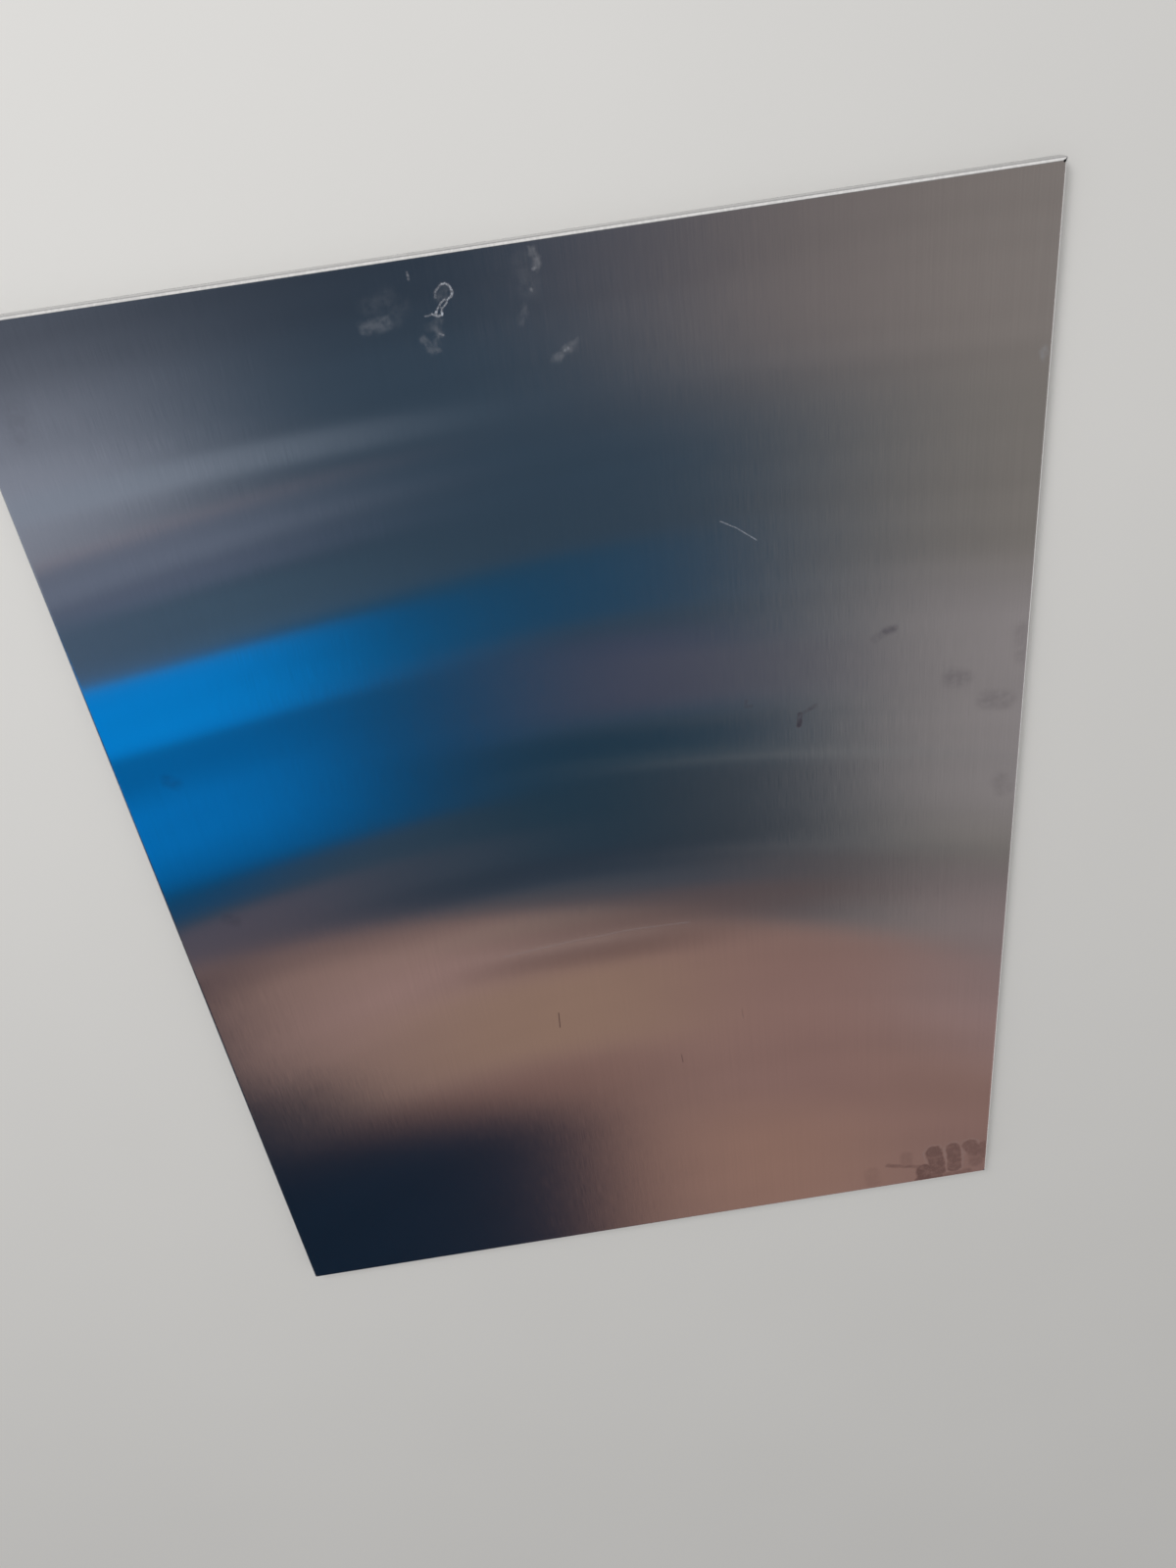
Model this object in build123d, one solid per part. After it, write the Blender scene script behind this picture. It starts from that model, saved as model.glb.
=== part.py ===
from build123d import *
import os

# A brushed stainless plate: one sheet with its four edges folded back square.
# It lies face up, with +Z up. The origin is the middle of the rectangle that the folded rims rest on.
# X runs across the plate and Y along it. +Y is the upper edge when the plate stands.
# All sizes are in millimetres.

# Plate
plate_width = 600.0
plate_length = 800.0
fold_depth = 10.0
sheet_thickness = 1.0

# Folds
inner_bend_radius = 1.0
rim_rounding = 0.15

# Corners
mitre_slit_width = 0.6
relief_hole_diameter = 1.6

# Values that follow from the sizes above
outer_bend_radius = inner_bend_radius + sheet_thickness
inner_width = plate_width - 2 * sheet_thickness
inner_length = plate_length - 2 * sheet_thickness
inner_depth = fold_depth - sheet_thickness


def upper_edges(solid):
    """The four edges round the top face."""
    return solid.faces().sort_by(Axis.Z)[-1].edges()


def outer_form():
    """The space inside the outer skin, with the fold radius round its top."""
    block = Pos(0, 0, fold_depth / 2) * Box(plate_width, plate_length, fold_depth)
    return fillet(upper_edges(block), outer_bend_radius)


def hollow_form():
    """The space behind the sheet, with the smaller radius of the inside of the folds."""
    block = Pos(0, 0, inner_depth / 2) * Box(inner_width, inner_length, inner_depth)
    return fillet(upper_edges(block), inner_bend_radius)


def folded_sheet():
    """The sheet and its four folded edges, one thickness all over, with the rims deburred."""
    shell = outer_form() - hollow_form()
    rim = shell.faces().sort_by(Axis.Z)[0]
    return fillet(rim.edges(), rim_rounding)


def corner_cut():
    """The mitre slit and its relief hole, for the corner in +X and +Y."""
    hole_x = plate_width / 2 - outer_bend_radius
    hole_y = plate_length / 2 - outer_bend_radius
    reach = 2 * outer_bend_radius
    slit = Pos(reach / 2, 0, fold_depth / 2) * Box(reach, mitre_slit_width, 2 * fold_depth)
    hole = Pos(0, 0, fold_depth / 2) * Cylinder(relief_hole_diameter / 2, 2 * fold_depth)
    return Pos(hole_x, hole_y, 0) * (Rot(0, 0, 45) * (slit + hole))


def all_corner_cuts():
    """The same cut at the four corners."""
    right_pair = corner_cut() + mirror(corner_cut(), Plane.XZ)
    return right_pair + mirror(right_pair, Plane.YZ)


def make_plate():
    """The finished plate."""
    plate = folded_sheet() - all_corner_cuts()
    plate.label = "plate"
    return plate


os.makedirs("parts", exist_ok=True)
export_step(make_plate(), "parts/plate.step")
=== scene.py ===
import math

import bmesh
import bpy
import numpy as np
from mathutils import Euler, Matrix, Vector


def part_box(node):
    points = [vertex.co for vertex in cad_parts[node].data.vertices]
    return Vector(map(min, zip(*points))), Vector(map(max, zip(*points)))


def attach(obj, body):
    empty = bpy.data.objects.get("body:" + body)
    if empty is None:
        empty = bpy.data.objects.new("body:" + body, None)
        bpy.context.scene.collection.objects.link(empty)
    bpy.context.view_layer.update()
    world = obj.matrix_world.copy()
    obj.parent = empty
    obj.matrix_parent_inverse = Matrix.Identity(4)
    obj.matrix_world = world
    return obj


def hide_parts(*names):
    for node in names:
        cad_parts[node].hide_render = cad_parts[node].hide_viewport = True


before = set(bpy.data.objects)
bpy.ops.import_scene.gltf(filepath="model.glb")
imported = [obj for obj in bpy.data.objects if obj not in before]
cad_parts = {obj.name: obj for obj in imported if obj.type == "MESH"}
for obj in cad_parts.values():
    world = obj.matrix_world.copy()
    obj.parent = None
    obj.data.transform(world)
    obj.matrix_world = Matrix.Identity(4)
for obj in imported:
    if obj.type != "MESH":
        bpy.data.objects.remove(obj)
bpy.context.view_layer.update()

# A brushed stainless plate with its four edges folded back square. It lies face up, +Y is its upper edge.
# Lengths are in metres, and the marks on the face are in millimetres from its middle.

mm = 0.001

# Plate, from the frame
plate_low, plate_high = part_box("plate")
plate_width = plate_high.x - plate_low.x
plate_length = plate_high.y - plate_low.y
fold_depth = plate_high.z - plate_low.z
sheet_thickness = 1.0 * mm
inner_bend_radius = 1.0 * mm
outer_bend_radius = inner_bend_radius + sheet_thickness
rim_rounding = 0.15 * mm
slit_width = 0.6 * mm
relief_radius = 0.8 * mm

# Values that follow from the sizes above
bend_line_x = plate_width / 2 - outer_bend_radius
bend_line_y = plate_length / 2 - outer_bend_radius
bend_centre_z = fold_depth - outer_bend_radius
slit_setback = slit_width / math.sqrt(2)
slit_meets_hole = (slit_setback + math.sqrt(2 * relief_radius**2 - slit_setback**2)) / 2

# Mesh
face_step = 7 * mm
edge_step = 0.4 * mm
bend_steps = 16
flange_steps = 3
rim_steps = 3
hole_steps = 8
sharp_angle = math.radians(35)
merge_distance = 0.002 * mm
back_offset = 1.0

# Slow waves of the face: their depth, and how far from the bend lines they fade out. The broad wave is one
# sine across times another along, and the slanting one is added to it. Rates are in radians a metre.
sheet_waviness = 0.12 * mm
wave_margin = 50 * mm
wave_middle = 0.5
wave_swing = 0.3
broad_rate_x = 9.1
broad_start_x = 1.3
broad_rate_y = 6.7
broad_start_y = -0.4
slant_share = 0.6
slant_rate_x = 5.2
slant_rate_y = 13.7


def lines_across(reach):
    """Even lines from -reach to +reach, face_step apart, with one more line edge_step inside each end."""
    count = int(round(2 * reach / face_step)) + 1
    even = np.linspace(-reach, reach, count)
    return np.sort(np.concatenate([even, [-reach + edge_step, reach - edge_step]]))


def fold_profile(bend_radius):
    """One skin of a folded edge: the distance past the bend line, the height, and the length along the sheet.

    The distance is radius * sin(turn) and the height is centre + radius * cos(turn) over the quarter turn of
    the bend. The flange then goes straight down, and a small quarter circle rounds it into the rim. The outer
    skin goes on across the flat of the rim, to where the inner skin's rounding ends."""
    turn = np.linspace(0, math.pi / 2, bend_steps + 1)
    out = [bend_radius * np.sin(turn)]
    up = [bend_centre_z + bend_radius * np.cos(turn)]
    down = np.linspace(bend_centre_z, rim_rounding, flange_steps + 1)[1:]
    out.append(np.full(len(down), bend_radius))
    up.append(down)
    towards_middle = 1 if bend_radius == inner_bend_radius else -1
    roll = np.linspace(0, math.pi / 2, rim_steps + 1)[1:]
    out.append(bend_radius + towards_middle * rim_rounding * (1 - np.cos(roll)))
    up.append(rim_rounding * (1 - np.sin(roll)))
    if bend_radius == outer_bend_radius:
        out.append([inner_bend_radius + rim_rounding])
        up.append([0.0])
    out, up = np.concatenate(out), np.concatenate(up)
    along = np.concatenate([[0.0], np.cumsum(np.hypot(np.diff(out), np.diff(up)))])
    return out, up, along


def corner_setback(past_bend):
    """How far a folded edge stops short of, or passes, the other bend line, at a distance past its own.

    Inside the relief hole it is minus the height of a circle, and outside it the line of the mitre less
    half the slit."""
    circle = np.sqrt(np.clip(relief_radius**2 - past_bend**2, 0, None))
    return np.where(past_bend < slit_meets_hole, -circle, past_bend - slit_setback)


def face_block(height, shift):
    """The face between the bend lines: rows along Y, each spread evenly to where the relief holes let it.

    In the last millimetre before a corner, a row ends on the quarter circle of the hole. The face sags by
    about a tenth of a millimetre in slow waves that fade out at the bend lines."""
    full = bend_line_y - relief_radius
    past = bend_line_y - relief_radius * np.cos(np.linspace(0, math.pi / 2, hole_steps + 1)[1:])
    rows = np.concatenate([-past[::-1], lines_across(full), past])
    inside = np.clip(bend_line_y - np.abs(rows), 0, relief_radius)
    half = bend_line_x - np.sqrt(np.clip(relief_radius**2 - inside**2, 0, None))
    columns = lines_across(bend_line_x - relief_radius) / (bend_line_x - relief_radius)
    x = half[:, None] * columns[None, :]
    y = np.repeat(rows[:, None], len(columns), axis=1)
    fade = np.clip((bend_line_x - np.abs(x)) / wave_margin, 0, 1)
    fade = fade * np.clip((bend_line_y - np.abs(y)) / wave_margin, 0, 1)
    fade = fade * fade * (3 - 2 * fade)
    broad = np.sin(broad_rate_x * x + broad_start_x) * np.cos(broad_rate_y * y + broad_start_y)
    slant = slant_share * np.sin(slant_rate_y * y + slant_rate_x * x)
    z = height - sheet_waviness * fade * (wave_middle + wave_swing * (broad + slant))
    places = np.stack([x, y, z], axis=-1)
    flat = np.stack([x + shift, y], axis=-1)
    return places, flat


def edge_block(side, bend_radius, shift):
    """One skin of one folded edge: the fold's profile carried along the side, its ends on the corner cut."""
    out, up, along = fold_profile(bend_radius)
    lengthwise = side in ("left", "right")
    own, other = (bend_line_x, bend_line_y) if lengthwise else (bend_line_y, bend_line_x)
    sign = 1 if side in ("right", "upper") else -1
    steps = lines_across(other - relief_radius) / (other - relief_radius)
    reach = other + corner_setback(out)
    run = steps[:, None] * reach[None, :]
    away = np.broadcast_to(sign * (own + out), run.shape)
    flat_away = np.broadcast_to(sign * (own + along), run.shape)
    height = np.broadcast_to(up, run.shape)
    order = (away, run, height) if lengthwise else (run, away, height)
    flat = (flat_away + shift, run) if lengthwise else (run + shift, flat_away)
    return np.stack(order, axis=-1), np.stack(flat, axis=-1)


def grid_faces(rows, columns, start):
    """The quads of a grid of rows by columns whose first vertex has the number start."""
    number = start + np.arange(rows * columns).reshape(rows, columns)
    corners = [number[:-1, :-1], number[:-1, 1:], number[1:, 1:], number[1:, :-1]]
    return np.stack(corners, axis=-1).reshape(-1, 4)


def folded_sheet(name):
    """The whole sheet as one closed mesh: outer and inner skins of the face and the four folded edges.

    Their shared lines are merged, and the cut corners are closed by a ladder of quads between the skins.
    A UV map holds the sheet's flat pattern in metres, with the back skin one metre to the side."""
    places, flats, faces = [], [], []
    count = 0

    def take(block, flat):
        nonlocal count
        rows, columns = block.shape[:2]
        places.append(block.reshape(-1, 3))
        flats.append(flat.reshape(-1, 2))
        faces.append(grid_faces(rows, columns, count))
        count += rows * columns

    face_out, flat_out = face_block(fold_depth, 0.0)
    face_in, flat_in = face_block(fold_depth - sheet_thickness, back_offset)
    take(face_out, flat_out)
    take(face_in, flat_in)
    for side in ("left", "right", "lower", "upper"):
        skin_out, pattern_out = edge_block(side, outer_bend_radius, 0.0)
        skin_in, pattern_in = edge_block(side, inner_bend_radius, back_offset)
        take(skin_out, pattern_out)
        take(skin_in, pattern_in)
        for end in (0, -1):
            cut, cut_pattern = skin_out[end, :-1], pattern_out[end, :-1]
            take(np.stack([cut, skin_in[end]]), np.stack([cut_pattern, cut_pattern]))
    for rows in (slice(0, hole_steps + 1), slice(-hole_steps - 1, None)):
        for column in (0, -1):
            wall = np.stack([face_out[rows, column], face_in[rows, column]])
            take(wall, np.stack([flat_out[rows, column], flat_out[rows, column]]))

    places, flats, faces = np.concatenate(places), np.concatenate(flats), np.concatenate(faces)
    mesh = bpy.data.meshes.new(name)
    mesh.from_pydata(places, [], faces.tolist())
    pattern = mesh.uv_layers.new(name="sheet_flat")
    pattern.data.foreach_set("uv", flats[faces.reshape(-1)].astype(np.float32).reshape(-1))
    work = bmesh.new()
    work.from_mesh(mesh)
    bmesh.ops.remove_doubles(work, verts=work.verts, dist=merge_distance)
    bmesh.ops.recalc_face_normals(work, faces=work.faces)
    work.to_mesh(mesh)
    work.free()
    mesh.polygons.foreach_set("use_smooth", np.ones(len(mesh.polygons), dtype=bool))
    mesh.set_sharp_from_angle(angle=sharp_angle)
    mesh.update()
    piece = bpy.data.objects.new(name, mesh)
    bpy.context.scene.collection.objects.link(piece)
    return piece


class Wiring:
    """Adds nodes to one node tree and joins them."""

    def __init__(self, tree):
        self.tree = tree
        tree.nodes.clear()

    def node(self, kind, inputs=None, **settings):
        made = self.tree.nodes.new(kind)
        for key, value in settings.items():
            setattr(made, key, value)
        for key, value in (inputs or {}).items():
            self.feed(made.inputs[key], value)
        return made

    def feed(self, socket, value):
        if isinstance(value, bpy.types.NodeSocket):
            self.tree.links.new(value, socket)
        else:
            socket.default_value = value

    def math(self, operation, *values, clamp=False):
        made = self.node("ShaderNodeMath", operation=operation, use_clamp=clamp)
        for socket, value in zip(made.inputs, values):
            self.feed(socket, value)
        return made.outputs[0]

    def vector(self, operation, *values, scale=None):
        made = self.node("ShaderNodeVectorMath", operation=operation)
        for socket, value in zip(made.inputs, values):
            self.feed(socket, value)
        if scale is not None:
            self.feed(made.inputs["Scale"], scale)
        return made.outputs["Value" if operation in ("DOT_PRODUCT", "LENGTH") else "Vector"]

    def ramp(self, value, start, end, low=0.0, high=1.0, smooth=True):
        """low up to start, high from end on, and a smooth or straight change between."""
        kind = "SMOOTHSTEP" if smooth else "LINEAR"
        inputs = {"Value": value, "From Min": start, "From Max": end, "To Min": low, "To Max": high}
        return self.node("ShaderNodeMapRange", inputs, interpolation_type=kind).outputs["Result"]

    def blend(self, amount, under, over):
        """One colour laid over another. The colour sockets of a Mix node are its inputs 6 and 7."""
        made = self.node("ShaderNodeMix", data_type="RGBA", clamp_factor=True)
        for number, value in ((0, amount), (6, under), (7, over)):
            self.feed(made.inputs[number], value)
        return made.outputs[2]

    def noise(self, place, scale, detail=2.0, rough=0.5):
        """Smooth noise about 0.5 at a place. scale is a number, or one for each axis."""
        if isinstance(scale, tuple):
            place = self.vector("MULTIPLY", place, scale)
            scale = 1.0
        inputs = {"Vector": place, "Scale": scale, "Detail": detail, "Roughness": rough}
        return self.node("ShaderNodeTexNoise", inputs).outputs["Fac"]


def rgb(red, green, blue):
    return (red, green, blue, 1.0)


# Steel, and what lies on it
steel_dark_line = rgb(0.552, 0.552, 0.562)
steel_light_line = rgb(0.568, 0.568, 0.578)
steel_cloud = rgb(0.50, 0.50, 0.515)
# A painted highlight: the steel is painted lighter along the bends, where the folds catch light
steel_bend_highlight = rgb(0.68, 0.68, 0.69)
finger_grease = rgb(0.21, 0.175, 0.19)
# Pale colour of the dried film; it also paints a faint streak that is a painted reflection
dried_film_and_painted_streak = rgb(0.58, 0.65, 0.76)

# Grain, across and along the sheet, and the finer unevenness of the steel, in steps a metre
grain_fine_steps = (12000.0, 60.0, 1.0)
grain_line_steps = (900.0, 7.0, 1.0)
cloud_steps = 9.0
speck_steps = 420.0
grain_fine_tilt = 0.07
grain_line_tilt = 0.004
speck_strength = 0.1
speck_height = 0.004 * mm
smooth_grain = 0.09
rough_grain = 0.105
# How far the painted highlight along the bends reaches each side of the bend line, and the roughness added
# there
bend_highlight_before = 1.0 * mm
bend_highlight_after = 0.8 * mm
bend_highlight_roughness = 0.10
film_roughness = 0.40
film_cover = 0.8
touch_roughness = 0.12

# How far the marks stray from their drawn lines, in millimetres, and the noises that break them up, in steps
# a millimetre
drip_stray = 1.8
finger_stray = 3.4
haze_stray = 6.0
stray_steps = 0.22
broken_steps = 0.9
patchy_steps = 0.16
smoky_steps = 0.2

# Marks on the face, in millimetres from its middle. Each is the points of a line, half its width, how far it
# fades beyond that, and its strength
dried_drips = [
    ([(-36.4, 383.7), (-34.2, 384.3), (-32.1, 382.3), (-31, 379.4), (-32.2, 377.2), (-34.6, 375.8)],
     0.15, 0.8, 0.55),
    ([(-36.4, 383.7), (-38.8, 382), (-40.4, 380), (-40.6, 377.9)], 0.1, 0.9, 0.24),
    ([(-34.6, 375.8), (-35.5, 374.4), (-37.2, 372.7), (-38.3, 370.9)], 0.1, 0.7, 0.42),
    ([(-36, 376.2), (-38.5, 374.6), (-40.3, 372.6), (-41.5, 370.7)], 0.1, 0.7, 0.4),
    ([(-37.2, 372.7), (-40.3, 372.6)], 0.1, 0.6, 0.25),
    ([(-38.5, 370.2), (-38.7, 369)], 0.35, 0.7, 0.85),
    ([(-41.5, 370.7), (-41.8, 369.6)], 0.3, 0.7, 0.75),
    ([(-44.1, 369.7), (-41.4, 368.5), (-38.7, 368.7)], 0.2, 0.9, 0.42),
    ([(-44.1, 369.7), (-47.4, 369.2)], 0.1, 0.7, 0.22),
    ([(-41.8, 359.8), (-40.2, 358.6)], 0.2, 0.9, 0.25),
    ([(-52.7, 391.9), (-52.6, 388.8)], 0.2, 0.9, 0.2),
    ([(10.4, 374.6), (10.4, 374.3)], 0.3, 1.1, 0.24),
    ([(14.2, 385.1), (12.8, 384.3)], 0.2, 1.2, 0.22),
    ([(26.5, 342.3), (24.4, 341.1)], 0.2, 1.6, 0.24),
]
dried_haze = [
    ([(-36, 381.5), (-37.5, 378)], 1.0, 3.5, 0.064),
    ([(-41.1, 366.3), (-42.4, 363.4), (-47.3, 362.9)], 0.2, 3.2, 0.064),
    ([(-42.5, 363), (-41.8, 359.8), (-44.2, 355)], 0.2, 3.0, 0.0896),
    ([(-50.8, 357.8), (-49.1, 355.3), (-47.2, 351.2), (-44.6, 352.1)], 0.4, 2.8, 0.0896),
    ([(13.2, 394.1), (15.1, 391.2), (15.7, 388), (13.7, 384.5)], 0.2, 3.2, 0.128),
    ([(8, 388), (10.5, 376)], 1.0, 9.0, 0.032),
    ([(5.3, 366.7), (4.2, 363.3), (2.7, 359.5)], 0.3, 3.0, 0.0704),
    ([(30.4, 344.9), (25.6, 341.9), (18.6, 338.3)], 0.3, 3.6, 0.102),
    ([(-80.6, 367.9), (-71.1, 368.8), (-68.3, 369.6)], 0.8, 5.0, 0.0896),
    ([(-76, 378), (-66, 381)], 0.6, 8.0, 0.032),
    ([(-60, 376), (-66, 370)], 0.6, 8.0, 0.0256),
]
pale_spots = [
    ([(294.3, 302.5), (294.5, 299.5)], 0.6, 3.0, 0.14),
]
dark_touches = [
    ([(209.3, 142.4), (205, 141.6)], 0.6, 4.0, 0.5),
    ([(205, 141.6), (198, 137.5)], 0.4, 4.6, 0.2),
    ([(147.6, 90.6), (146.6, 82.4)], 0.9, 1.7, 0.9),
    ([(150, 91.4), (158, 95.6)], 0.4, 1.8, 0.5),
    ([(112.4, 106.4), (111.6, 103), (115.4, 102.6)], 0.3, 1.5, 0.4),
    ([(249, 100.5), (257, 98.5)], 1.0, 9.0, 0.24),
    ([(274, 80), (287, 77)], 1.0, 10.0, 0.24),
    ([(294, 128), (296, 108)], 1.0, 8.0, 0.15),
    ([(287, 14), (290, 6)], 1.0, 9.0, 0.18),
]
faint_touches = [
    ([(-268, 114), (-264, 111)], 1.0, 6.0, 0.25),
    ([(-262, -2), (-258, -5)], 1.0, 6.0, 0.2),
    ([(-276, 349), (-278, 341)], 2.0, 12.0, 0.12),
]
finger_pads = [
    ([(251.6, -364), (254.8, -377), (256.4, -390)], 6.0, 2.2, 0.62),
    ([(268.6, -362.4), (270.4, -374), (271, -387)], 5.2, 2.0, 0.58),
    ([(283.4, -362), (288.6, -371)], 5.4, 2.4, 0.5),
    ([(288, -371), (290, -385)], 3.6, 4.6, 0.32),
    ([(296, -365), (297.4, -377)], 3.6, 2.4, 0.42),
    ([(243.4, -385), (244.6, -394)], 5.6, 2.4, 0.68),
    ([(227.6, -364), (228.6, -373)], 3.4, 4.0, 0.2),
    ([(197, -379), (199, -391)], 4.0, 5.6, 0.13),
    ([(211, -372.4), (226, -377), (242, -380.5)], 0.6, 2.6, 0.46),
    ([(240, -396.5), (258, -397)], 1.6, 3.4, 0.72),
    ([(258, -397), (284, -396)], 1.2, 3.4, 0.36),
]
fringe_width = 1.2
fringe_fade = 0.8
fringe_strength = 0.13
finger_fringes = [(points, half + fringe_width, fade + fringe_fade, fringe_strength)
                  for points, half, fade, _ in finger_pads[:3]]
grain_nicks = [
    ([(-46.3, -137.2), (-47.2, -152)], 0.16, 0.42, 0.9),
    ([(43.5, -201), (44, -209.2)], 0.12, 0.4, 0.6),
    ([(94.2, -163), (94.9, -172)], 0.1, 0.4, 0.3),
]
# The first line is a light scratch. The second is a painted reflection: a faint pale streak across the grain,
# drawn as film.
scratches_and_painted_streak = [
    ([(103.3, 231), (113, 225.2), (124.5, 215.9)], 0.14, 0.45, 0.32),
    ([(-78, -74.5), (-30, -70), (20, -67.5), (60, -69)], 0.2, 0.9, 0.1),
]

# Finishes by where they lie: the boxes of the face that wear each one, as left, lower, right and upper, and
# the marks in them
finish_zones = {
    "brushed_plain": ([], {}),
    "brushed_dripped": ([(-95, 330, 45, 398)], {"drips": dried_drips, "haze": dried_haze}),
    "brushed_touched": ([(90, -15, 298, 165)], {"touches": dark_touches}),
    "brushed_fingered": ([(180, -398, 298, -345)], {"fingers": finger_pads, "fringes": finger_fringes}),
    "brushed_marked": ([(270, 285, 298, 318), (-298, -20, -245, 130), (-298, 320, -250, 370),
                        (-60, -220, 110, -125), (90, 205, 140, 242), (-90, -85, 72, -56)],
                       {"haze": pale_spots, "touches": faint_touches, "nicks": grain_nicks,
                        "scratch_and_streak_mask": scratches_and_painted_streak}),
}


def nearest(w, place, points):
    """How far a place is from a line of points, in the place's units.

    Along each stretch the nearest point is start + share * stretch, with share the place's projection on the
    stretch, held between 0 and 1. The distance is the least over the stretches."""
    least = None
    for (ax, ay), (bx, by) in zip(points[:-1], points[1:]):
        run = Vector((bx - ax, by - ay, 0))
        from_start = w.vector("SUBTRACT", place, (ax, ay, 0))
        share = w.math("ADD", w.vector("DOT_PRODUCT", from_start, run / run.length_squared), 0.0, clamp=True)
        gap = w.vector("LENGTH", w.vector("MULTIPLY_ADD", -run, share, from_start))
        least = gap if least is None else w.math("MINIMUM", least, gap)
    return least


def marks(w, place, strokes, after):
    """The strongest of several soft strokes at a place: each is its strength near its line, and fades out.

    Each stroke's place carries a billionth of the result before it, and the first one's of after. The strokes
    are then worked out one by one, because a renderer has no room for them all side by side."""
    billionth = 1e-9
    total = 0.0
    for points, half_width, fade, strength in strokes:
        turn_taken = w.vector("MULTIPLY_ADD", after, (billionth, billionth, billionth), place)
        amount = w.ramp(nearest(w, turn_taken, points), half_width, half_width + fade, strength, 0.0)
        total = amount if total == 0.0 else w.math("MAXIMUM", total, amount)
        after = total
    return total


def film_streak_and_touch(w, flat, strokes):
    """How much pale dried film, with a streak of painted reflection among it, and how much dark touch a place
    of the face has.

    The drawn lines stray with a slow noise, and other noises break up what they leave."""
    on_face = w.vector("SCALE", flat, scale=1 / mm)
    drift = w.node("ShaderNodeTexNoise", {"Vector": on_face, "Scale": stray_steps, "Detail": 2.0})
    shake = w.vector("SUBTRACT", drift.outputs["Color"], (0.5, 0.5, 0.5))
    wandering, smudged, drifting = [w.vector("MULTIPLY_ADD", shake, (stray, stray, 0.0), on_face)
                                    for stray in (drip_stray, finger_stray, haze_stray)]
    broken = w.ramp(w.noise(on_face, broken_steps, 2.0, 0.65), 0.35, 0.6, 0.3, 1.0)
    patchy = w.ramp(w.noise(on_face, patchy_steps, 3.0, 0.6), 0.3, 0.62, 0.35, 1.0)
    smoky = w.ramp(w.noise(on_face, smoky_steps, 4.0, 0.6), 0.34, 0.66, 0.25, 1.15)
    pressed = w.ramp(patchy, 0.35, 1.0, 0.62, 1.0)

    drips = w.math("MULTIPLY", marks(w, wandering, strokes.get("drips", []), smoky), broken)
    haze = w.math("MULTIPLY", marks(w, drifting, strokes.get("haze", []), drips), smoky)
    touches = w.math("MULTIPLY", marks(w, wandering, strokes.get("touches", []), haze), patchy)
    fingers = w.math("MULTIPLY", marks(w, smudged, strokes.get("fingers", []), touches), pressed)
    fringes = marks(w, smudged, strokes.get("fringes", []), fingers)
    fringes = w.math("SUBTRACT", fringes, w.math("MULTIPLY", fingers, 2.0), clamp=True)
    nicks = marks(w, on_face, strokes.get("nicks", []), fringes)
    # Light scratch marks, and the faint streak of painted reflection
    scratch_and_streak_mask = w.math("MULTIPLY", marks(w, on_face, strokes.get("scratch_and_streak_mask", []), nicks), broken)

    # Pale film: dried drips and haze, fringes, and scratches, with the streak of painted reflection among
    # them
    pale_film_and_streak = w.math("MAXIMUM", w.math("MAXIMUM", drips, haze), w.math("MULTIPLY", fringes, patchy))
    pale_film_and_streak = w.math("MAXIMUM", pale_film_and_streak, scratch_and_streak_mask)
    touch = w.math("MAXIMUM", w.math("MAXIMUM", touches, fingers), nicks)
    return pale_film_and_streak, touch


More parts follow.
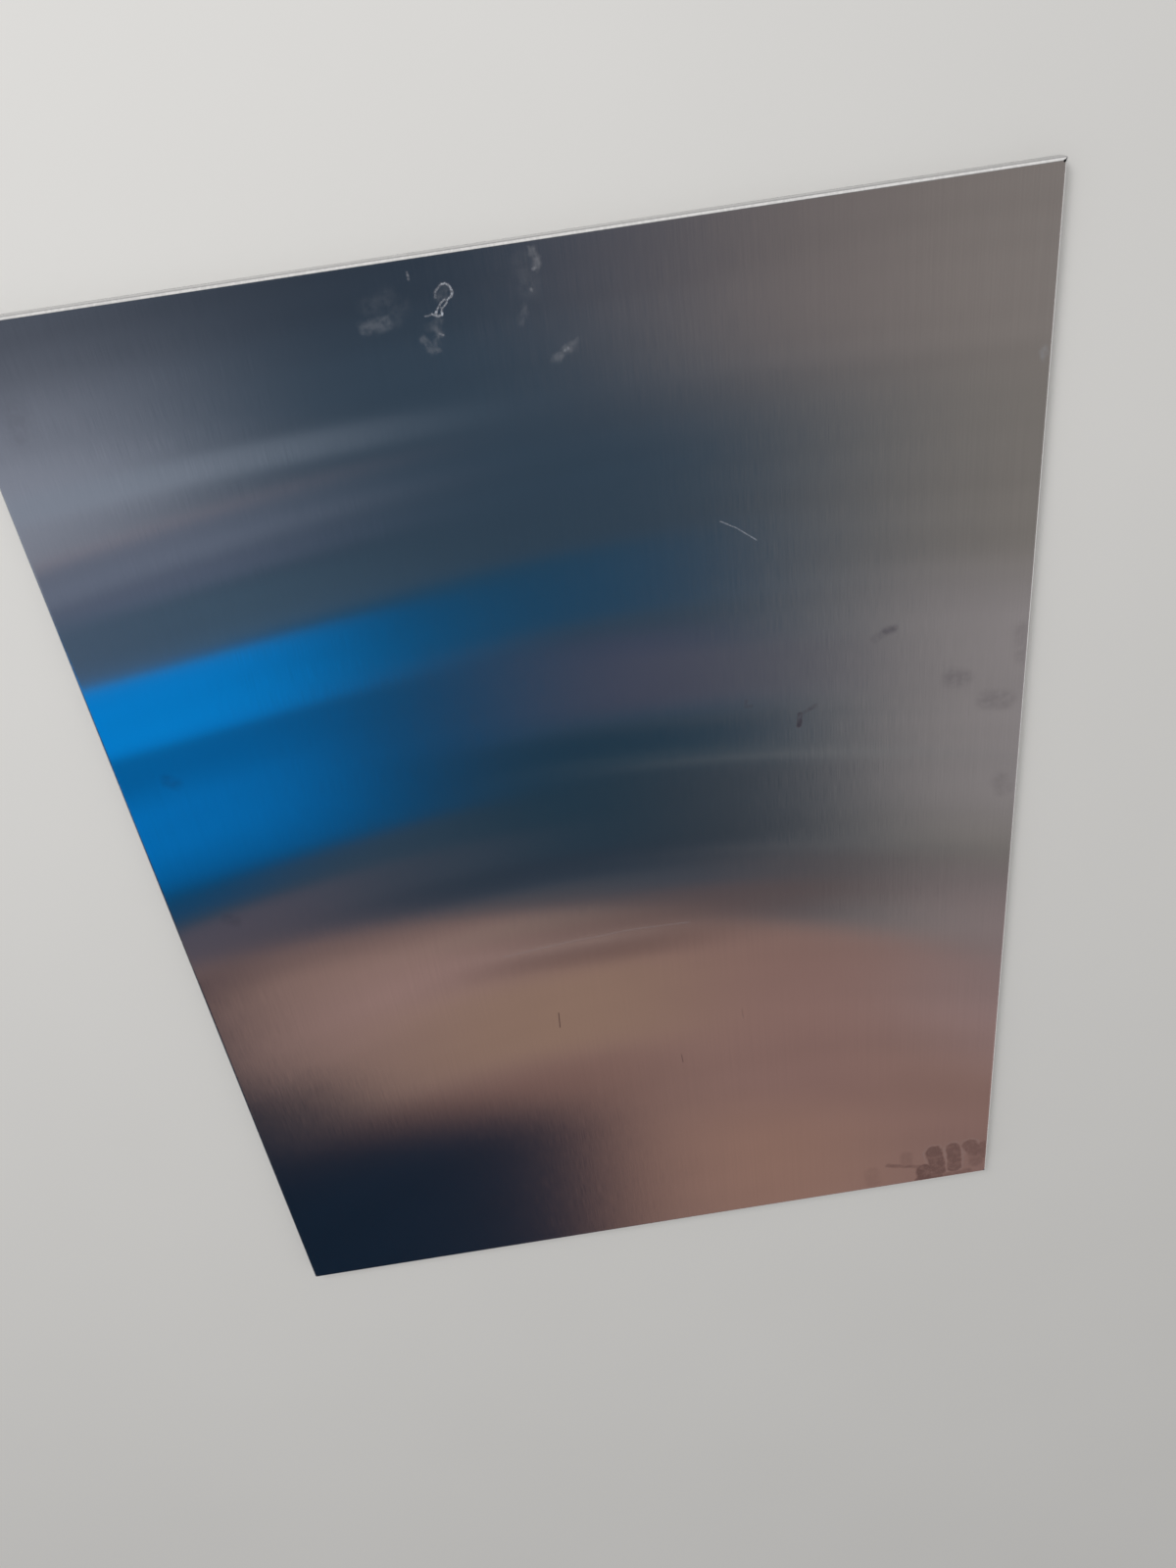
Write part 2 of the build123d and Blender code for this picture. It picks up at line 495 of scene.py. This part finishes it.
def brushed_stainless(name, strokes):
    """Brushed stainless steel. Fine grain runs along the sheet, from its flat pattern, over the folds too.

    The grain tilts the surface across itself, so that mirrored light spreads across the grain only. Dried
    film is pale and matt, and touch marks are thin and dark; a faint pale streak drawn as film is a painted
    reflection. The bends carry a painted highlight: they are painted lighter, and made a little rougher."""
    material = bpy.data.materials.new(name)
    material.use_nodes = True
    w = Wiring(material.node_tree)
    flat = w.node("ShaderNodeUVMap", uv_map="sheet_flat").outputs["UV"]

    grain_fine = w.noise(flat, grain_fine_steps, 1.0, 0.5)
    grain_line = w.noise(flat, grain_line_steps, 1.0, 0.6)
    cloud = w.noise(flat, cloud_steps, 2.0, 0.6)
    speck = w.noise(flat, speck_steps, 1.0, 0.6)

    steel = w.blend(w.ramp(grain_line, 0.3, 0.7, smooth=False), steel_dark_line, steel_light_line)
    steel = w.blend(w.ramp(cloud, 0.35, 0.7, 0.0, 0.25), steel, steel_cloud)
    sides = w.node("ShaderNodeSeparateXYZ", {0: w.vector("ABSOLUTE", flat)})
    past_bend = w.math("MAXIMUM", w.math("SUBTRACT", sides.outputs["X"], bend_line_x),
                       w.math("SUBTRACT", sides.outputs["Y"], bend_line_y))
    # A painted highlight: the steel is painted lighter in patches along the bends, and made a little rougher
    # there
    bend_highlight = w.math("MULTIPLY", w.ramp(past_bend, -bend_highlight_before, bend_highlight_after),
                    w.ramp(speck, 0.4, 0.62))
    steel = w.blend(w.math("MULTIPLY", bend_highlight, 0.5), steel, steel_bend_highlight)
    rough = w.ramp(grain_fine, 0.3, 0.7, smooth_grain, rough_grain, smooth=False)
    rough = w.math("ADD", rough, w.math("MULTIPLY", bend_highlight, bend_highlight_roughness))
    metal = 1.0
    if strokes:
        pale_film_and_streak, touch = film_streak_and_touch(w, flat, strokes)
        steel = w.blend(touch, steel, finger_grease)
        # Pale film over the steel, which holds the streak of painted reflection too
        steel = w.blend(pale_film_and_streak, steel, dried_film_and_painted_streak)
        metal = w.math("SUBTRACT", 1.0, w.math("MULTIPLY", pale_film_and_streak, film_cover))
        rough = w.math("ADD", rough, w.math("MULTIPLY", pale_film_and_streak, film_roughness))
        rough = w.math("ADD", rough, w.math("MULTIPLY", touch, touch_roughness))

    tangent = w.node("ShaderNodeTangent", direction_type="UV_MAP", uv_map="sheet_flat").outputs["Tangent"]
    normal = w.node("ShaderNodeNewGeometry").outputs["Normal"]
    tilt = w.math("ADD", w.math("MULTIPLY", w.math("SUBTRACT", grain_fine, 0.5), grain_fine_tilt),
                  w.math("MULTIPLY", w.math("SUBTRACT", grain_line, 0.5), grain_line_tilt))
    grained = w.vector("NORMALIZE", w.vector("MULTIPLY_ADD", tangent, tilt, normal))
    bump = w.node("ShaderNodeBump", {"Height": speck, "Strength": speck_strength, "Distance": speck_height,
                                     "Normal": grained})
    shader = w.node("ShaderNodeBsdfPrincipled", {
        "Base Color": steel, "Metallic": metal, "Roughness": rough, "Anisotropic": 1.0,
        "Normal": bump.outputs["Normal"], "Tangent": tangent})
    w.node("ShaderNodeOutputMaterial", {"Surface": shader.outputs[0]})
    return material


def wear_finishes(sheet):
    """Gives each quad of the outer face the finish of the zone that its middle lies in."""
    mesh = sheet.data
    middles = np.empty(len(mesh.polygons) * 3, dtype=np.float32)
    mesh.polygons.foreach_get("center", middles)
    x, y, z = middles.reshape(-1, 3).T / mm
    worn = np.zeros(len(mesh.polygons), dtype=np.int32)
    on_top = z > (fold_depth - sheet_thickness / 2) / mm
    for number, (name, (boxes, strokes)) in enumerate(finish_zones.items()):
        mesh.materials.append(brushed_stainless(name, strokes))
        for left, lower, right, upper in boxes:
            worn[on_top & (x > left) & (x < right) & (y > lower) & (y < upper)] = number
    mesh.polygons.foreach_set("material_index", worn)


# Light of the studio: what the steel mirrors beside the cards and above them, what falls on matt surfaces,
# and what the lens sees behind the plate
plain_studio = rgb(0.62, 0.62, 0.61)
bright_studio = rgb(1.15, 1.13, 1.09)
matt_light = rgb(0.53, 0.53, 0.53)
pale_backdrop = rgb(0.8, 0.8, 0.79)
bright_start = 0.2
bright_full = 0.34

# Soft cards round the plate, as the steel mirrors them. turn is the angle about the grain's direction, in
# degrees from straight up, + towards +X. rise is how far a direction leans along the grain, as its Y
# component. A card may slope or curve: its rise is measured after tilt * turn + bow * turn squared is added.
surround_cards = [
    # name, colour, rise from, to, softness, turn from, to, softness, opacity, tilt, bow
    ("slate", (0.044, 0.083, 0.128), -0.92, 0.05, 0.04, None, None, 1, 1.0, 0, 0),
    ("grey side", (0.315, 0.285, 0.257), -0.92, 0.05, 0.04, 15.5, None, 9, 1.0, 0, 0),
    ("upper side", (0.36, 0.32, 0.295), -0.235, 0.05, 0.03, 17, None, 8, 0.8, 0, 0),
    ("upper rose grey", (0.30, 0.25, 0.235), -0.235, 0.05, 0.06, 7, 20, 8, 0.8, 0, 0),
    ("upper haze", (0.14, 0.13, 0.155), -0.18, 0.05, 0.04, 1.5, 9, 5, 0.6, 0, 0),
    ("upper dusk", (0.015, 0.04, 0.07), -0.165, 0.05, 0.03, -11, -1, 4, 0.8, 0, 0),
    ("pale side", (0.43, 0.39, 0.39), -0.565, -0.39, 0.03, 19, None, 6, 0.85, 0, 0),
    ("pale left", (0.36, 0.385, 0.46), -0.2548, 0.05, 0.003, None, -17, 8, 1.0, -0.0012, 0),
    ("pale glow", (0.415, 0.45, 0.54), -0.252, -0.207, 0.008, None, -18, 4, 0.6, 0, 0),
    ("upper left dusk", (0.065, 0.08, 0.11), -0.165, 0.05, 0.05, None, -5, 8, 0.7, 0, 0),
    ("pale streak", (0.40, 0.465, 0.565), -0.2475, -0.228, 0.003, None, -9, 9, 0.5, 0, 0),
    ("rose streak", (0.33, 0.27, 0.31), -0.2548, -0.2475, 0.002, None, -10, 9, 0.55, -0.0012, 0),
    ("fold grey", (0.205, 0.24, 0.325), -0.284, -0.2548, 0.003, None, -13, 9, 1.0, -0.0012, 0),
    ("fold gleam", (0.235, 0.275, 0.37), -0.281, -0.270, 0.003, None, -9, 9, 0.5, -0.0012, 0),
    ("fold dusk", (0.155, 0.19, 0.28), -0.304, -0.284, 0.003, None, -12, 9, 1.0, -0.0012, 0),
    ("dim teal", (0.09, 0.16, 0.235), -0.375, -0.325, 0.012, None, -10, 9, 0.9, 0, 0),
    ("dim teal side", (0.118, 0.171, 0.258), -0.375, -0.325, 0.012, None, -21, 4, 0.8, 0, 0),
    ("blue hem", (0.012, 0.085, 0.175), -0.408, -0.353, 0.004, None, 6, 7, 0.85, -0.001, 0),
    ("deep blue", (0.0, 0.11, 0.28), -0.4165, -0.3605, 0.003, None, -5, 5, 0.9, -0.0014, -0.00004),
    ("blue", (0.0, 0.355, 1.04), -0.4165, -0.3605, 0.002, -48, -13, 6, 1.0, -0.0014, -0.00004),
    ("blue crest", (0.07, 0.25, 0.42), -0.3615, -0.3590, 0.0008, None, -13, 5, 0.6, -0.0014, -0.00004),
    ("deep blue below", (0.0, 0.085, 0.215), -0.520, -0.4165, 0.004, None, -4.5, 6, 0.95, -0.0014, -0.00004),
    ("blue ebb", (0.0, 0.085, 0.22), -0.536, -0.515, 0.005, None, -18, 5, 0.85, -0.0014, -0.00004),
    ("lower blue", (0.0, 0.185, 0.55), -0.5135, -0.4165, 0.009, -48, -13, 5, 1.0, -0.0014, -0.00004),
    ("lower blue glow", (0.0, 0.27, 0.82), -0.495, -0.448, 0.014, -48, -16, 6, 0.8, -0.0014, -0.00004),
    ("violet", (0.09, 0.09, 0.15), -0.478, -0.42, 0.010, 0, 8, 5, 0.8, 0, 0),
    ("violet glow", (0.15, 0.14, 0.175), -0.476, -0.436, 0.006, 5, 15, 6, 0.5, 0, 0),
    ("teal band", (0.018, 0.056, 0.093), -0.577, -0.487, 0.004, -6, 11, 5, 1.0, 0, 0),
    ("dusk right", (0.06, 0.068, 0.082), -0.600, -0.523, 0.006, 4, 14, 4, 0.6, 0, 0),
    ("upper gleam", (0.10, 0.12, 0.14), -0.492, -0.488, 0.0015, 4, 16, 6, 0.6, 0, 0),
    ("middle gleam", (0.27, 0.285, 0.285), -0.5205, -0.5175, 0.001, 4, 22, 6, 0.7, 0, 0),
    ("middle gleam over", (0.12, 0.155, 0.17), -0.5135, -0.511, 0.001, -1, 14, 6, 0.5, 0, 0),
    ("lower gleam", (0.19, 0.19, 0.195), -0.5845, -0.5815, 0.001, 2, 22, 7, 0.7, 0, 0),
    ("brown band", (0.15, 0.125, 0.155), -0.600, -0.553, 0.003, None, -14, 7, 0.85, 0, 0),
    ("brown band middle", (0.07, 0.09, 0.125), -0.580, -0.5525, 0.003, -13, -3, 5, 0.6, 0, 0),
    ("dark line", (0.028, 0.05, 0.08), -0.592, -0.574, 0.004, -13, 8, 6, 0.8, 0, 0),
    ("dusk band", (0.115, 0.11, 0.12), -0.613, -0.594, 0.004, -11, 3, 5, 0.7, 0, 0),
    ("side line", (0.14, 0.12, 0.125), -0.618, -0.588, 0.006, 9, 20, 6, 0.75, 0, 0),
    ("side line end", (0.27, 0.235, 0.235), -0.618, -0.590, 0.010, 20, None, 4, 0.6, 0, 0),
    ("warm left", (0.415, 0.265, 0.225), -0.92, -0.615, 0.003, None, -2, 9, 1.0, 0.0014, 0),
    ("warm right", (0.39, 0.237, 0.198), -0.92, -0.617, 0.009, -8, None, 7, 1.0, 0.0014, 0),
    ("brown edge", (0.18, 0.12, 0.112), -0.628, -0.606, 0.005, 1, 15, 5, 0.7, 0, 0),
    ("warm dim", (0.28, 0.18, 0.165), -0.630, -0.611, 0.006, None, -9, 5, 0.8, 0.0014, 0),
    ("rose left", (0.50, 0.32, 0.29), -0.668, -0.62, 0.02, -17, -4, 6, 0.7, 0, 0),
    ("gold", (0.44, 0.283, 0.205), -0.700, -0.650, 0.010, -12, 5, 6, 0.85, 0, 0),
    ("rose", (0.385, 0.225, 0.20), -0.745, -0.65, 0.02, 7, 17, 6, 0.7, 0, 0),
    ("violet side", (0.37, 0.28, 0.28), -0.700, -0.605, 0.025, 20, None, 5, 0.8, 0, 0),
    ("pale rose side", (0.45, 0.295, 0.275), -0.715, -0.675, 0.02, 22, None, 4, 0.7, 0, 0),
    ("lower gold", (0.46, 0.262, 0.195), -0.80, -0.745, 0.02, 4, 16, 6, 0.7, 0, 0),
    ("lower side dim", (0.31, 0.18, 0.165), -1.20, -0.735, 0.02, 21, None, 5, 0.6, 0, 0),
    ("dusky rose", (0.24, 0.16, 0.145), -0.6475, -0.617, 0.003, -6, 6, 5, 0.75, 0, 0),
    ("gold glow", (0.37, 0.28, 0.23), -0.622, -0.612, 0.004, -9, 0, 5, 0.5, 0, 0),
    ("light line", (1.1, 0.84, 0.72), -0.6347, -0.6333, 0.0005, -6, 3, 4, 0.7, -0.00036, -0.00009),
    ("dark arc", (0.235, 0.14, 0.12), -0.6485, -0.638, 0.002, -7, 7, 5, 0.7, -0.0003, -0.0001),
    ("dim rose", (0.29, 0.165, 0.14), -1.20, -0.705, 0.012, None, 1, 4, 0.85, 0, 0),
    ("rose fringe", (0.07, 0.055, 0.07), -0.70, -0.585, 0.008, None, -23, 4, 1.0, 0, 0),
    ("dusk corner", (0.02, 0.03, 0.05), -1.20, -0.781, 0.010, None, -17, 4.5, 1.0, 0.0054, 0),
    ("dark corner", (0.008, 0.022, 0.045), -1.20, -0.7402, 0.017, None, -2.5, 4, 1.0, 0.002, 0),
    ("bright side", (1.15, 1.13, 1.09), -0.92, 0.05, 0.04, 57, None, 4, 1.0, 0, 0),
]


# The world works out one band of rise at a time, each with only its own cards. lowest_rise is under them all.
lowest_rise = -2.0
band_edges = [-0.66, -0.60, -0.50, -0.42, -0.345, 0.12]
surround_left = -80.0
surround_right = 80.0
side_blur = 4.0

# Fine streaks in the cards' light, which lean with the turn
streak_lean = -0.0011
streak_stretch = 0.0004
streak_steps = 75.0
streak_dim = 0.9
streak_bright = 1.1


def band_light(w, rise, turn, low_end, high_end):
    """The light of one band of rise: its cards, each over those before it, with fine streaks."""
    reach = np.linspace(surround_left - side_blur, surround_right + side_blur, 50)
    colour = plain_studio
    for _, card, low, high, soft, left, right, side_soft, opacity, tilt, bow in surround_cards:
        shift = tilt * reach + bow * reach**2
        if low - soft - shift.max() > high_end or high + soft - shift.min() < low_end:
            continue
        leant = w.math("MULTIPLY_ADD", turn, tilt, rise) if tilt else rise
        leant = w.math("MULTIPLY_ADD", w.math("MULTIPLY", turn, turn), bow, leant) if bow else leant
        amount = w.math("MULTIPLY", w.ramp(leant, low - soft, low + soft, 0.0, opacity),
                        w.ramp(leant, high + soft, high - soft))
        if left is not None:
            amount = w.math("MULTIPLY", amount, w.ramp(turn, left - side_soft, left + side_soft))
        if right is not None:
            amount = w.math("MULTIPLY", amount, w.ramp(turn, right + side_soft, right - side_soft))
        colour = w.blend(amount, colour, rgb(*card))
    streaked = w.node("ShaderNodeCombineXYZ", {"X": w.math("MULTIPLY_ADD", turn, streak_lean, rise),
                                               "Y": w.math("MULTIPLY", turn, streak_stretch)}).outputs[0]
    streaks = w.ramp(w.noise(streaked, streak_steps, 3.0, 0.6), 0.25, 0.75, streak_dim, streak_bright,
                     smooth=False)
    colour = w.vector("SCALE", colour, scale=streaks)
    within = w.math("MULTIPLY", w.ramp(turn, surround_left - side_blur, surround_left + side_blur),
                    w.ramp(turn, surround_right + side_blur, surround_right - side_blur))
    return w.node("ShaderNodeBackground", {"Color": w.blend(within, plain_studio, colour)}).outputs[0]


def studio_surround():
    """The world: plain pale light for the lens and for matt surfaces, and soft cards for the metal."""
    world = bpy.data.worlds.new("studio_surround")
    world.use_nodes = True
    w = Wiring(world.node_tree)
    direction = w.node("ShaderNodeTexCoord").outputs["Generated"]
    parts = w.node("ShaderNodeSeparateXYZ", {0: direction})
    rise = parts.outputs["Y"]
    turn = w.math("DEGREES", w.math("ARCTAN2", parts.outputs["X"], parts.outputs["Z"]))
    above = w.blend(w.ramp(rise, bright_start, bright_full), plain_studio, bright_studio)
    light = w.node("ShaderNodeBackground", {"Color": above}).outputs[0]
    for low_end, high_end in reversed(list(zip([lowest_rise] + band_edges, band_edges))):
        band = band_light(w, rise, turn, low_end, high_end)
        light = w.node("ShaderNodeMixShader", {0: w.math("GREATER_THAN", rise, high_end), 1: band, 2: light})
        light = light.outputs[0]
    path = w.node("ShaderNodeLightPath")
    plain = w.node("ShaderNodeBackground", {"Color": matt_light}).outputs[0]
    backdrop = w.node("ShaderNodeBackground", {"Color": pale_backdrop}).outputs[0]
    lit = w.node("ShaderNodeMixShader", {0: path.outputs["Is Glossy Ray"], 1: plain, 2: light}).outputs[0]
    seen = w.node("ShaderNodeMixShader", {0: path.outputs["Is Camera Ray"], 1: lit, 2: backdrop}).outputs[0]
    w.node("ShaderNodeOutputWorld", {"Surface": seen})
    bpy.context.scene.world = world


# Floor, lamp and camera
floor_half = 6.0
floor_gap = 0.05 * mm
floor_dark = rgb(0.70, 0.69, 0.67)
floor_light = rgb(0.74, 0.73, 0.71)
floor_cloud_steps = 3.0
floor_roughness = 0.9
lamp_place = (-0.8, 1.6, 1.4)
lamp_size = 0.9
lamp_watts = 24.0
sensor_width = 36.0
lens_length = 26.79
camera_place = (-0.0066, 0.4772, 0.6789)
camera_turn = (-31.436, -5.151, -7.215)


def pale_floor():
    """A plain pale floor, a square just under the folded rims."""
    corners = np.array([(-1, -1, 0), (1, -1, 0), (1, 1, 0), (-1, 1, 0)]) * floor_half
    mesh = bpy.data.meshes.new("pale_floor")
    mesh.from_pydata(corners + [0, 0, plate_low.z - floor_gap], [], [(0, 1, 2, 3)])
    floor = bpy.data.objects.new("pale_floor", mesh)
    bpy.context.scene.collection.objects.link(floor)
    material = bpy.data.materials.new("pale_floor")
    material.use_nodes = True
    w = Wiring(material.node_tree)
    place = w.node("ShaderNodeTexCoord").outputs["Object"]
    colour = w.blend(w.noise(place, floor_cloud_steps, 3.0), floor_dark, floor_light)
    shader = w.node("ShaderNodeBsdfPrincipled", {"Base Color": colour, "Roughness": floor_roughness,
                                                 "Specular IOR Level": 0.0})
    w.node("ShaderNodeOutputMaterial", {"Surface": shader.outputs[0]})
    mesh.materials.append(material)


def soft_lamp():
    """A square soft lamp that points at the plate. The steel mirrors the studio's cards and not the lamp."""
    data = bpy.data.lights.new("key_lamp", "AREA")
    data.shape = "SQUARE"
    data.size = lamp_size
    data.energy = lamp_watts
    lamp = bpy.data.objects.new("key_lamp", data)
    lamp.location = lamp_place
    lamp.rotation_euler = (-Vector(lamp_place)).to_track_quat("-Z", "Y").to_euler()
    lamp.visible_glossy = False
    bpy.context.scene.collection.objects.link(lamp)


def camera_above():
    """The camera where the photograph was taken from, with the plate laid flat."""
    data = bpy.data.cameras.new("camera_above")
    data.sensor_width = sensor_width
    data.lens = lens_length
    data.clip_start = 0.01
    data.clip_end = 50.0
    camera = bpy.data.objects.new("camera_above", data)
    camera.location = camera_place
    camera.rotation_euler = Euler([math.radians(turn) for turn in camera_turn])
    bpy.context.scene.collection.objects.link(camera)
    bpy.context.scene.camera = camera


camera_above()
studio_surround()
pale_floor()
soft_lamp()

sheet = folded_sheet("brushed_sheet")
wear_finishes(sheet)
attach(sheet, "root")
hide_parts("plate")

bpy.context.scene.view_settings.view_transform = "Standard"
